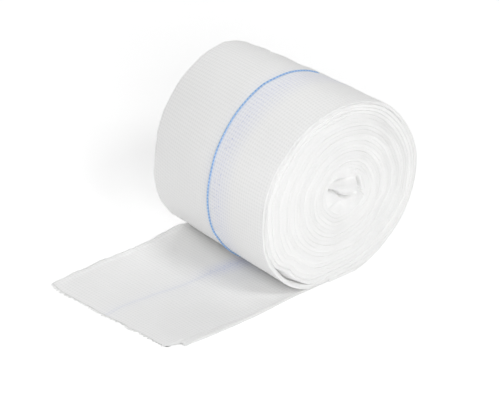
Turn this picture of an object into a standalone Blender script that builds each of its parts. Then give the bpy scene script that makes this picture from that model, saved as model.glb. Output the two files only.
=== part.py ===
"""A roll of packing gauze, 50 mm wide, with its free end lying out flat in front of it.

The gauze is one long strip, folded lengthwise into several plies and wound without a core. The roll lies
on its side with its axis along X, and the end face that shows is at +X. The strip's free end runs out
toward -Y. The outermost turn leaves the free end at the foot of the roll, goes up the back at +Y, over
the top and down the front, and so on inward. Sizes are in metres, with the surface it lies on at Z = 0.
"""

import math
from collections import namedtuple

import bmesh
import bpy

MM = 0.001

# Driving sizes
CLOTH_WIDTH = 50.0 * MM
STRIP_THICKNESS = 1.0 * MM
AXIS_HEIGHT = 27.8 * MM
SEAM_ANGLE = -96.0

# The cross-section of the roll, as radii about its axis at the near end, the middle and the far end.
# Angles are in degrees from +Y toward +Z, and each row is 30 degrees on from the last.
Section = namedtuple("Section", "angle near middle far")
SECTIONS = (
    Section(-90, 28.6, 28.6, 28.6),
    Section(-60, 28.3, 27.6, 27.2),
    Section(-30, 27.5, 27.2, 25.8),
    Section(0, 28.1, 27.0, 24.9),
    Section(30, 28.4, 27.1, 24.4),
    Section(60, 28.9, 27.6, 24.9),
    Section(90, 28.4, 29.5, 26.9),
    Section(120, 28.3, 29.9, 26.4),
    Section(150, 28.4, 29.5, 25.7),
    Section(180, 28.4, 29.2, 25.8),
    Section(210, 29.1, 29.5, 28.0),
    Section(240, 29.8, 29.5, 30.2),
)
SECTION_STEP = 360.0 / len(SECTIONS)

# The main turns, from the outline inward: how deep each lies in from the outline, how far its edge
# stands out of the cut plane at the near and the far end, and how deep the furrow before it is. The
# second row lies as deep as the strip is thick and 0.3 mm more, the gap over the free end.
Turn = namedtuple("Turn", "depth near far furrow")
TURNS = (
    Turn(0.0, -0.2, -0.6, 0.8),
    Turn(1.3, -0.4, -0.5, 0.7),
    Turn(3.4, -0.6, -0.4, 0.9),
    Turn(6.9, 0.7, -0.1, 1.3),
    Turn(10.3, 1.5, -0.3, 0.8),
    Turn(13.8, 1.9, -0.9, 1.2),
    Turn(17.4, 2.1, -1.2, 0.8),
    Turn(20.8, 1.3, -1.5, 0.9),
    Turn(23.6, 0.9, -1.8, 0.5),
    Turn(26.2, 0.5, -2.0, 0.2),
)

# The innermost turns sit off the axis, toward the back and the top.
CORE_SHIFT_Y = 2.3 * MM
CORE_SHIFT_Z = 0.9 * MM

# Places on the near end where the winding gapes or is pushed in: the angle and the number of turns in
# from the outline, how far each reaches both ways, and its depth.
Hollow = namedtuple("Hollow", "angle spread turn reach depth")
HOLLOWS = (
    Hollow(226, 15, 1.88, 0.13, 2.6),
    Hollow(62, 26, 3.30, 0.45, 1.2),
)

# Creases in the crumpled middle of the near end, from the axis: the ends of each, its width and depth.
Crease = namedtuple("Crease", "from_y from_z to_y to_z width depth")
CREASES = (
    Crease(-4.0, 4.0, -1.4, 1.3, 1.0, 2.2),
    Crease(-1.4, 1.3, 1.8, 0.9, 0.9, 1.6),
    Crease(-1.2, 5.1, 5.6, 4.2, 1.0, 1.5),
    Crease(5.7, 3.5, 6.2, 0.3, 0.9, 1.5),
    Crease(6.2, 0.3, 9.5, -2.6, 0.9, 1.0),
)

# The free end, row by row from the foot of the roll to the cut edge: its two side edges, how far the
# cloth stands up off the surface at the left edge, and how much its top swells in the middle.
Reach = namedtuple("Reach", "y left right left_lift swell")
REACHES = (
    Reach(-3.4, -24.6, 25.0, 0.0, 0.0),
    Reach(-9.0, -24.6, 25.1, 0.0, 0.0),
    Reach(-15.0, -24.6, 25.2, 0.0, 0.2),
    Reach(-22.0, -24.0, 25.7, 0.0, 0.3),
    Reach(-29.0, -23.5, 26.2, 0.0, 0.4),
    Reach(-37.0, -23.4, 26.3, 0.0, 0.2),
    Reach(-45.0, -23.7, 26.2, 0.0, 0.3),
    Reach(-52.0, -23.8, 25.7, 0.0, 0.2),
    Reach(-57.0, -23.8, 25.5, 0.6, 0.3),
    Reach(-60.5, -23.8, 25.4, 1.2, 0.4),
    Reach(-63.2, -23.9, 25.3, 1.8, 0.2),
)

# The free end from its left edge to its right edge: the share of the width, how far short of the front
# line the cut edge stops, and how far the top stands up. The right margin is folded over and ends early.
Column = namedtuple("Column", "share short raised")
COLUMNS = (
    Column(0.000, 0.0, -0.1),
    Column(0.040, 0.1, 0.1),
    Column(0.130, 0.3, 0.0),
    Column(0.250, 0.5, 0.1),
    Column(0.400, 0.7, 0.0),
    Column(0.520, 1.1, 0.1),
    Column(0.650, 1.6, 0.0),
    Column(0.780, 2.2, 0.1),
    Column(0.880, 2.9, 0.0),
    Column(0.925, 3.4, 0.1),
    Column(0.945, 7.3, 0.4),
    Column(0.985, 7.6, 0.4),
    Column(1.000, 8.2, 0.1),
)
CUT_EDGE_ZONE = 14.0 * MM
CORNER_WIDTH = 9.0 * MM
LAP_LENGTH = 14.0 * MM

# How finely the shapes are divided
STEPS_PER_TURN = 56
STEPS_PER_EDGE = 4
BARREL_STEPS = 9
CORE_DIMPLE = 0.5 * MM
WELD_DISTANCE = 0.002 * MM
SHARP_ANGLE = 50

GAUZE_COLOUR = (0.90, 0.91, 0.92, 1.0)
GAUZE_ROUGHNESS = 0.95


def clear_scene():
    for obj in list(bpy.data.objects):
        bpy.data.objects.remove(obj, do_unlink=True)


def mix(start, end, share):
    return start + (end - start) * share


def smooth_between(before, start, end, after, share):
    """Catmull-Rom curve from start to end."""
    slope_in = (end - before) / 2
    slope_out = (after - start) / 2
    square = share * share
    cube = square * share
    return (
        (2 * cube - 3 * square + 1) * start
        + (cube - 2 * square + share) * slope_in
        + (3 * square - 2 * cube) * end
        + (cube - square) * slope_out
    )


def section_radius(angle, column):
    """The outline's radius at an angle, before the strip's own step, in one column of the sections."""
    rows = len(SECTIONS)
    whole, share = divmod((angle - SECTIONS[0].angle) / SECTION_STEP, 1.0)
    values = [getattr(SECTIONS[(int(whole) + k) % rows], column) for k in (-1, 0, 1, 2)]
    return smooth_between(*values, share) * MM


def outline_radius(angle, station):
    """The outline's radius at an angle, with station 0 at the near end, 0.5 in the middle and 1 far."""
    near = section_radius(angle, "near")
    middle = section_radius(angle, "middle")
    far = section_radius(angle, "far")
    toward_near = 2 * (station - 0.5) * (station - 1.0)
    toward_middle = 4 * station * (1.0 - station)
    toward_far = 2 * station * (station - 0.5)
    return near * toward_near + middle * toward_middle + far * toward_far


def turn_value(turn, column):
    """A column of the main turns at a number of turns in from the outline."""
    last = len(TURNS) - 1
    whole = min(int(turn), last - 1)
    share = min(turn, last) - whole
    return mix(getattr(TURNS[whole], column), getattr(TURNS[whole + 1], column), share) * MM


def section_point(angle, depth, station):
    """Y and Z of a point `depth` in from the outline. Each turn lies flat on the ones under it."""
    share = depth / AXIS_HEIGHT
    radius = (1 - share) * mix(outline_radius(angle, station), AXIS_HEIGHT, share)
    y = CORE_SHIFT_Y * share + radius * math.cos(math.radians(angle))
    z = AXIS_HEIGHT + CORE_SHIFT_Z * share + radius * math.sin(math.radians(angle))
    return y, max(z, depth)


def hollow_depth(angle, turn):
    """How far the near end is pushed in where the winding gapes."""
    total = 0.0
    for hollow in HOLLOWS:
        off = (angle - hollow.angle + 180) % 360 - 180
        along = off / hollow.spread
        across = (turn - hollow.turn) / hollow.reach
        total += hollow.depth * math.exp(-along * along - across * across)
    return total * MM


def crease_depth(y, z):
    """How deep the creases of the crumpled middle are at a place on the near end."""
    deepest = 0.0
    for crease in CREASES:
        run_y = (crease.to_y - crease.from_y) * MM
        run_z = (crease.to_z - crease.from_z) * MM
        off_y = y - crease.from_y * MM
        off_z = z - AXIS_HEIGHT - crease.from_z * MM
        share = (off_y * run_y + off_z * run_z) / (run_y * run_y + run_z * run_z)
        share = min(max(share, 0.0), 1.0)
        away = math.hypot(off_y - share * run_y, off_z - share * run_z) / (crease.width * MM)
        deepest = max(deepest, crease.depth * MM * math.exp(-away * away))
    return deepest


def end_height(turn, across, angle, side):
    """How far an end face stands out of the cut plane, in a turn's edge `across` from 0 to 1."""
    furrow = turn_value(turn + across, "furrow") * (1 - math.sin(math.pi * across))
    if side < 0:
        return turn_value(turn + across, "far") - furrow
    return turn_value(turn + across, "near") - furrow - hollow_depth(angle, turn + across)


def end_point(turn, across, side):
    """A point on an end face: `turn` turns in along the spiral and `across` that turn's edge."""
    angle = SEAM_ANGLE + 360 * turn
    depth = mix(turn_value(turn, "depth"), turn_value(turn + 1, "depth"), across)
    station = 0.0 if side > 0 else 1.0
    y, z = section_point(angle, depth, station)
    x = side * (CLOTH_WIDTH / 2 + end_height(turn, across, angle, side))
    if side > 0:
        x -= crease_depth(y, z)
    return x, y, z


def barrel_point(turn, along):
    """A point on the outside of the roll, from the near end at 0 to the far end at 1."""
    angle = SEAM_ANGLE + 360 * turn
    near_x = end_point(turn, 0.0, 1)[0]
    far_x = end_point(turn, 0.0, -1)[0]
    y, z = section_point(angle, turn_value(turn, "depth"), along)
    return mix(near_x, far_x, along), y, z


def add_grid(mesh, columns, rows, place):
    """A grid of faces, with each corner placed by its two shares from 0 to 1."""
    made = bmesh.ops.create_grid(mesh, x_segments=columns, y_segments=rows, size=0.5)
    for vert in made["verts"]:
        vert.co = place(vert.co.x + 0.5, vert.co.y + 0.5)
    return made["verts"]


def close_ends(mesh):
    """Close the middle of each end, and the step where the free end leaves the roll."""
    rim = [edge for edge in mesh.edges if edge.is_boundary]
    caps = bmesh.ops.holes_fill(mesh, edges=rim, sides=0)["faces"]
    for cap in caps:
        middle = cap.calc_center_median().x
        if abs(middle) < CLOTH_WIDTH / 4:
            continue
        vert = bmesh.ops.poke(mesh, faces=[cap])["verts"][0]
        vert.co.x -= math.copysign(CORE_DIMPLE, middle)


def finish_object(name, mesh, material):
    bmesh.ops.recalc_face_normals(mesh, faces=mesh.faces)
    data = bpy.data.meshes.new(name)
    mesh.to_mesh(data)
    mesh.free()
    data.shade_smooth()
    data.set_sharp_from_angle(angle=math.radians(SHARP_ANGLE))
    data.materials.append(material)
    obj = bpy.data.objects.new(name, data)
    bpy.context.scene.collection.objects.link(obj)
    return obj


def gauze_material(name):
    material = bpy.data.materials.new(name)
    material.use_nodes = True
    shader = material.node_tree.nodes["Principled BSDF"]
    shader.inputs["Base Color"].default_value = GAUZE_COLOUR
    shader.inputs["Roughness"].default_value = GAUZE_ROUGHNESS
    shader.inputs["Metallic"].default_value = 0.0
    return material


def build_roll():
    """The wound strip: a spiral of main turns at both ends, and the outermost turn between them."""
    mesh = bmesh.new()
    turns = len(TURNS) - 2
    for side in (1, -1):
        add_grid(
            mesh,
            turns * STEPS_PER_TURN,
            STEPS_PER_EDGE,
            lambda along, across, side=side: end_point(along * turns, across, side),
        )
    add_grid(mesh, STEPS_PER_TURN, BARREL_STEPS, barrel_point)
    bmesh.ops.remove_doubles(mesh, verts=mesh.verts, dist=WELD_DISTANCE)
    close_ends(mesh)
    bmesh.ops.triangulate(mesh, faces=mesh.faces)
    return finish_object("gauze_roll", mesh, gauze_material("gauze"))


def reach_value(y, column):
    """A column of the free end's rows at a distance Y, on a straight line between two rows."""
    for before, after in zip(REACHES, REACHES[1:]):
        if y >= after.y * MM:
            share = (y - before.y * MM) / ((after.y - before.y) * MM)
            return mix(getattr(before, column), getattr(after, column), share) * MM
    return getattr(REACHES[-1], column) * MM


def free_end_point(row, column):
    """A point on the underside of the free end, and how thick the cloth is there."""
    front = REACHES[-1].y * MM
    nominal = REACHES[row].y * MM
    share = COLUMNS[column].share
    pulled = max(0.0, (front + CUT_EDGE_ZONE - nominal) / CUT_EDGE_ZONE)
    y = nominal + COLUMNS[column].short * MM * pulled
    left = reach_value(nominal, "left")
    right = reach_value(nominal, "right")
    x = mix(left, right, share)
    corner = max(0.0, 1 - (x - left) / CORNER_WIDTH)
    lift = reach_value(nominal, "left_lift") * corner * corner
    if nominal > -LAP_LENGTH:
        return (x, y, lift), STRIP_THICKNESS
    swell = reach_value(nominal, "swell") * math.sin(math.pi * share)
    return (x, y, lift), STRIP_THICKNESS + swell + COLUMNS[column].raised * MM


def build_loose_end():
    """The free end, one sheet with a folded right margin, a cut front edge and one lifted corner."""
    mesh = bmesh.new()
    rows = len(REACHES) - 1
    columns = len(COLUMNS) - 1
    thickness = mesh.verts.layers.float.new("thickness")
    for vert in add_grid(mesh, columns, rows, lambda across, along: (across, along, 0.0)):
        place = free_end_point(round(vert.co.y * rows), round(vert.co.x * columns))
        vert.co, vert[thickness] = place
    raised = bmesh.ops.extrude_face_region(mesh, geom=mesh.faces[:])["geom"]
    for vert in raised:
        if isinstance(vert, bmesh.types.BMVert):
            vert.co.z += vert[thickness]
    bmesh.ops.triangulate(mesh, faces=mesh.faces)
    return finish_object("loose_end", mesh, gauze_material("gauze_free_end"))


def main():
    clear_scene()
    build_roll()
    build_loose_end()


main()
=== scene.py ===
"""A roll of packing gauze on a pale surface, with its free end lying out flat in front of it.

The strip is wound turn by turn as one folded band, its outermost ply is woven yarn by yarn, and the blue
detectable thread runs round the middle. Sizes are in metres in the frame's own axes: X along the roll,
the free end toward -Y, Z up from the surface.
"""

from __future__ import annotations

import logging
import math
from collections.abc import Callable
from dataclasses import dataclass, field
from enum import Enum
from typing import NamedTuple

import bmesh
import bpy
import numpy as np
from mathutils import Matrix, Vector

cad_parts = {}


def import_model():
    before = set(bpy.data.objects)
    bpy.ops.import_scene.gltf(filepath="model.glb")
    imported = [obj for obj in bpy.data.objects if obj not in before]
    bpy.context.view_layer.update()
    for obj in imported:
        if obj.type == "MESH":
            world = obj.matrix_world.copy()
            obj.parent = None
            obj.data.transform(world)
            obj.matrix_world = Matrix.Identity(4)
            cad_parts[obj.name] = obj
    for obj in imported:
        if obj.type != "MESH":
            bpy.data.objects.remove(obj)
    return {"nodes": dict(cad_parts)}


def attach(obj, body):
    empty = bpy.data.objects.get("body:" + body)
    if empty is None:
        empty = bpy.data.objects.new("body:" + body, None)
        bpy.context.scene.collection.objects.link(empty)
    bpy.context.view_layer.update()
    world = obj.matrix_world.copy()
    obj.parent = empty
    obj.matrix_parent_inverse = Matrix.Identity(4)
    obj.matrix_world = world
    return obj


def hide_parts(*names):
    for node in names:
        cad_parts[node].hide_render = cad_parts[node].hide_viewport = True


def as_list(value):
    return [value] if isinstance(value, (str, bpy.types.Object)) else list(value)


MM = 0.001
STRIP_WIDTH = 50.0 * MM
FREE_LENGTH = 60.0 * MM
WARP_PITCH = 0.90 * MM
WEFT_PITCH = 1.07 * MM

BODY = "root"
CLOTH_MAP = "cloth"
LOG = logging.getLogger("gauze")

# Points of a grid's seam nearer than this are one point; the second is for a tube 1 m in radius.
WELD = 0.0005 * MM
TUBE_WELD = 0.0001
# A direction is divided by its length, or by this where it has none.
TINY = 1e-12
# The free end's side of the roll, as an azimuth from +X.
FRONT = -90.0
# A Mix node's colour sockets go by number, because their names repeat.
MIX_INPUTS = ("Factor", 6, 7)
MIX_OUTPUT = 2

# The size of a ripple's table of values, and the knot that lies at 0 on a surface.
RIPPLE_ROWS = 997
RIPPLE_COLUMNS = 61
RIPPLE_START = 1000.0
# The free end and the tucked middles read their ripples this many metres from the first knot.
RIPPLE_SHIFT = 1.0

# A crease is a curve through this many places. It fades toward its ends, but not past CREASE_ENDS of
# its length, and its lip is measured in the crease's widths.
CREASE_STEPS = 25
CREASE_ENDS = 0.06
LIP_PLACE = 1.6
LIP_WIDTH = 1.3
LIP_REACH = 4.0

Array = np.ndarray
Placer = Callable[[Array, Array], Array]
Range = tuple[float, float]
Triple = tuple[float, float, float]
Colour = tuple[float, float, float, float]
Socket = bpy.types.NodeSocket
Value = float | Triple | Colour | Socket


class Side(Enum):
    """The two ends of the roll, as the sign of X there."""

    NEAR = 1
    FAR = -1


class Section(NamedTuple):
    """The roll's radius in millimetres at an angle, at its near end, middle and far end."""

    angle: float
    near: float
    middle: float
    far: float


class Turn(NamedTuple):
    """A main turn: its depth, how far its edge stands out at each end, and the furrow before it."""

    depth: float
    near: float
    far: float
    furrow: float


class Step(NamedTuple):
    """A soft step: where it starts and ends, and how high it is."""

    start: float
    end: float
    height: float = 1.0

    def at(self, place: Array) -> Array:
        """How much of the step is reached at each place."""
        return self.height * smoothstep(self.start, self.end, place)


class Hollow(NamedTuple):
    """A place on the near end that is pushed in, by angle and depth in the winding."""

    angle: float
    spread: float
    depth: float
    reach: float
    push: float

    def pushed(self, angle: Array, depth: Array) -> Array:
        """How far the near end is pushed in at each angle and depth, in metres."""
        off = angle_from(self.angle, angle) / self.spread
        inward = (depth / MM - self.depth) / self.reach
        return self.push * MM * np.exp(-off * off - inward * inward)


class Crease(NamedTuple):
    """A bent crease in a tucked middle, in millimetres from the axis.

    It runs from one place to another by way of a third; the lip stands on its left.
    """

    from_y: float
    from_z: float
    by_y: float
    by_z: float
    to_y: float
    to_z: float
    width: float
    depth: float
    lip: float

    def rise(self, y: Array, z: Array) -> Array:
        """How the crease and its lip change the cloth's height.

        Args:
            y: Y from the axis.
            z: Z from the axis.

        Returns:
            The change in metres.
        """
        ends = np.array(self[:6]).reshape(3, 2) * MM
        share = np.linspace(0, 1, CREASE_STEPS)[:, None]
        path = (1 - share) ** 2 * ends[0] + 2 * share * (1 - share) * ends[1] + share**2 * ends[2]
        run = unit_rows(np.gradient(path, axis=0))
        off_y, off_z = y[:, None] - path[:, 0], z[:, None] - path[:, 1]
        far = np.hypot(off_y, off_z)
        best = far.argmin(axis=1)
        rows = np.arange(len(y))
        left = run[best, 0] * off_z[rows, best] - run[best, 1] * off_y[rows, best]
        width, near = self.width * MM, far[rows, best]
        along = np.clip(best / (CREASE_STEPS - 1), CREASE_ENDS, 1 - CREASE_ENDS)
        lip = bell(left - LIP_PLACE * width, LIP_WIDTH * width) * bell(near, LIP_REACH * width)
        change = self.lip * lip - self.depth * bell(near, width)
        return change * np.sqrt(np.sin(along * math.pi)) * MM


class Lump(NamedTuple):
    """A soft rise or hollow in a tucked middle, in millimetres from the axis."""

    y: float
    z: float
    long: float
    wide: float
    turned: float
    height: float

    def rise(self, y: Array, z: Array) -> Array:
        """How the lump changes the cloth's height.

        Args:
            y: Y from the axis.
            z: Z from the axis.

        Returns:
            The change in metres.
        """
        cosine, sine = math.cos(math.radians(self.turned)), math.sin(math.radians(self.turned))
        off_y, off_z = y / MM - self.y, z / MM - self.z
        long = (off_y * cosine + off_z * sine) / self.long
        wide = (off_z * cosine - off_y * sine) / self.wide
        return self.height * MM * np.exp(-long * long - wide * wide)


class Reach(NamedTuple):
    """A row of the free end: its distance, side edges, corner lift, swell and folded margin."""

    y: float
    left: float
    right: float
    lift: float
    swell: float
    margin: float


class Softbox(NamedTuple):
    """A square soft light: its direction from the roll in degrees, its side and its power."""

    name: str
    azimuth: float
    elevation: float
    size: float
    power: float


SECTIONS = (
    Section(-90, 28.6, 28.6, 28.6),
    Section(-60, 28.7, 27.6, 27.2),
    Section(-30, 29.9, 27.2, 25.8),
    Section(0, 30.1, 27.0, 24.9),
    Section(30, 28.9, 26.8, 24.0),
    Section(60, 28.9, 27.0, 24.2),
    Section(90, 28.4, 29.5, 26.9),
    Section(120, 28.3, 29.9, 26.4),
    Section(150, 28.4, 29.5, 25.7),
    Section(180, 28.4, 29.2, 25.8),
    Section(210, 29.6, 30.1, 28.5),
    Section(240, 30.4, 30.2, 30.8),
)

TURNS = (
    Turn(0.0, 0.1, -0.4, 0.0),
    Turn(1.3, 0.0, -0.3, 0.2),
    Turn(3.4, -0.2, -0.3, 0.34),
    Turn(6.9, 0.5, -0.1, 0.36),
    Turn(10.3, 1.1, -0.3, 0.34),
    Turn(13.8, 1.4, -0.9, 0.36),
    Turn(17.4, 1.5, -1.2, 0.30),
    Turn(20.8, 1.2, -1.5, 0.2),
    Turn(27.8, 0.7, -1.9, 0.0),
)

HOLLOWS = (
    Hollow(60, 22, 4.6, 1.5, 0.7),
    Hollow(102, 34, 6.9, 1.2, 0.5),
    Hollow(98, 52, 13.8, 1.2, 0.45),
    Hollow(282, 62, 14.6, 1.1, 0.35),
    Hollow(321, 22, 8.7, 1.1, 0.35),
    Hollow(185, 40, 2.4, 0.7, 0.35),
)

THREAD_PATH = (
    (-96.0, 0.5),
    (-30.0, 2.0),
    (60.0, 2.9),
    (98.0, 2.8),
    (106.0, 2.35),
    (125.0, 2.6),
    (150.0, 2.7),
    (170.0, 2.7),
    (183.0, 2.4),
    (205.0, 2.4),
    (213.0, 3.1),
    (230.0, 3.2),
    (264.0, 2.5),
)

REACHES = (
    Reach(-2.95, -24.9, 25.1, 0.0, 0.0, 0.4),
    Reach(-9.0, -25.0, 25.1, 0.0, 0.0, 0.5),
    Reach(-15.0, -25.1, 25.2, 0.0, 0.15, 0.7),
    Reach(-22.0, -24.5, 25.7, 0.0, 0.25, 1.0),
    Reach(-29.0, -23.9, 26.2, 0.0, 0.3, 1.4),
    Reach(-37.0, -23.8, 26.3, 0.0, 0.15, 1.8),
    Reach(-45.0, -24.0, 26.2, 0.0, 0.25, 2.2),
    Reach(-52.0, -24.0, 25.9, 0.1, 0.2, 2.5),
    Reach(-58.0, -23.6, 25.7, 0.4, 0.3, 2.7),
    Reach(-61.5, -23.4, 25.5, 0.8, 0.25, 2.8),
    Reach(-64.6, -23.3, 25.4, 1.1, 0.1, 2.8),
)

NEAR_CREASES = (
    Crease(-4.6, 3.4, -3.0, 2.9, -0.9, 1.1, 0.40, 2.1, 0.10),
    Crease(-1.5, 1.8, 0.0, -1.3, 4.5, -0.5, 0.38, 1.9, 0.55),
    Crease(6.2, 4.1, 6.4, 1.2, 7.3, -0.5, 0.42, 2.2, 0.10),
    Crease(7.0, -0.2, 8.0, -1.8, 10.2, -3.4, 0.45, 1.2, 0.15),
    Crease(-4.8, -4.2, -3.2, -1.8, -0.6, -2.2, 0.80, 0.25, 0.2),
    Crease(-5.6, 3.0, -6.2, -0.5, -5.2, -4.0, 0.80, 0.4, 0.0),
)

NEAR_LUMPS = (
    Lump(1.0, 4.3, 3.3, 0.85, -6.0, -2.3),
    Lump(1.5, 2.1, 2.8, 1.0, -4.0, 0.4),
    Lump(4.6, -2.6, 3.4, 2.6, -35.0, 0.6),
    Lump(-3.0, -3.4, 2.0, 1.4, 40.0, -0.25),
)

FAR_CREASES = (
    Crease(-3.5, 3.0, -0.5, 0.4, 3.0, 2.0, 0.5, 1.2, 0.5),
    Crease(-2.0, -3.4, 1.5, -2.2, 4.6, -3.8, 0.5, 0.9, 0.4),
)

FAR_LUMPS = (
    Lump(1.0, 3.6, 3.0, 1.2, 10.0, -0.8),
    Lump(2.6, -1.0, 3.0, 2.0, -20.0, 0.5),
)

SOFTBOXES = (
    Softbox("key", 0.0, 50.0, 0.18, 1.20),
    Softbox("top", 0.0, 90.0, 0.30, 0.28),
    Softbox("side", -25.0, 30.0, 0.25, 0.90),
    Softbox("front", -40.0, 30.0, 0.18, 0.69),
    Softbox("fill", -90.0, 45.0, 0.80, 0.97),
    Softbox("left", -150.0, 35.0, 0.40, 1.02),
    Softbox("back", 140.0, 40.0, 0.40, 1.22),
    Softbox("back_fill", 90.0, 40.0, 0.40, 0.64),
)


def smoothstep(low: float, high: float, value: Array) -> Array:
    """A soft step from 0 at low to 1 at high.

    Args:
        low: Where the step starts.
        high: Where it ends.
        value: The values to step.

    Returns:
        The step at each value.
    """
    share = np.clip((value - low) / (high - low), 0.0, 1.0)
    return share * share * (3 - 2 * share)


def bell(off: Array, width: float) -> Array:
    """A bell curve that is 1 where off is 0."""
    return np.exp(-((off / width) ** 2))


def angle_from(centre: float, angle: Array) -> Array:
    """How far each angle lies from a centre, in degrees from -180 to 180."""
    return (angle - centre + 180) % 360 - 180


def column(rows: tuple[NamedTuple, ...], name: str) -> Array:
    """One named column of a table."""
    return np.array([getattr(row, name) for row in rows])


def unit_rows(vectors: Array) -> Array:
    """The same directions at unit length."""
    return vectors / np.maximum(np.linalg.norm(vectors, axis=-1, keepdims=True), TINY)


def ring_curve(values: Array, place: Array) -> Array:
    """A closed Catmull-Rom curve through evenly spaced values.

    Args:
        values: The values round the ring.
        place: Where to read it, in steps from the first value.

    Returns:
        The curve's value at each place.
    """
    whole = np.floor(place).astype(int)
    share = place - whole
    before, start, end, after = (values[(whole + k) % len(values)] for k in (-1, 0, 1, 2))
    square, cube = share * share, share * share * share
    return (
        (2 * cube - 3 * square + 1) * start
        + (cube - 2 * square + share) * (end - before) / 2
        + (3 * square - 2 * cube) * end
        + (cube - square) * (after - start) / 2
    )


@dataclass(frozen=True)
class Ripple:
    """A repeatable run of smooth unevenness: its seed, the distance between knots and its height."""

    seed: int
    step: float
    height: float = 1.0

    def on(self, side: Side) -> Ripple:
        """The same run with a seed of its own for one end of the roll."""
        return Ripple(self.seed + side.value, self.step, self.height)

    def at(self, place: Array) -> Array:
        """The unevenness at each place along a line."""
        values = np.random.default_rng(self.seed).uniform(-1, 1, RIPPLE_ROWS)
        return ring_curve(values, np.asarray(place, float) / self.step) * self.height

    def over(self, first: Array, second: Array) -> Array:
        """The unevenness over a surface.

        Args:
            first: Places one way.
            second: Places the other way.

        Returns:
            The unevenness at each pair of places.
        """
        values = np.random.default_rng(self.seed).uniform(-1, 1, (RIPPLE_ROWS, RIPPLE_COLUMNS))
        along = np.asarray(first, float) / self.step + RIPPLE_START
        across = np.asarray(second, float) / self.step + RIPPLE_START
        row, lane = np.floor(along).astype(int), np.floor(across).astype(int)
        a, b = smoothstep(0.0, 1.0, along - row), smoothstep(0.0, 1.0, across - lane)

        def knot(down: int, right: int) -> Array:
            """The value at a knot beside each pair of places."""
            return values[(row + down) % RIPPLE_ROWS, (lane + right) % RIPPLE_COLUMNS]

        top = knot(0, 0) * (1 - b) + knot(0, 1) * b
        low = knot(1, 0) * (1 - b) + knot(1, 1) * b
        return (top * (1 - a) + low * a) * self.height


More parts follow.
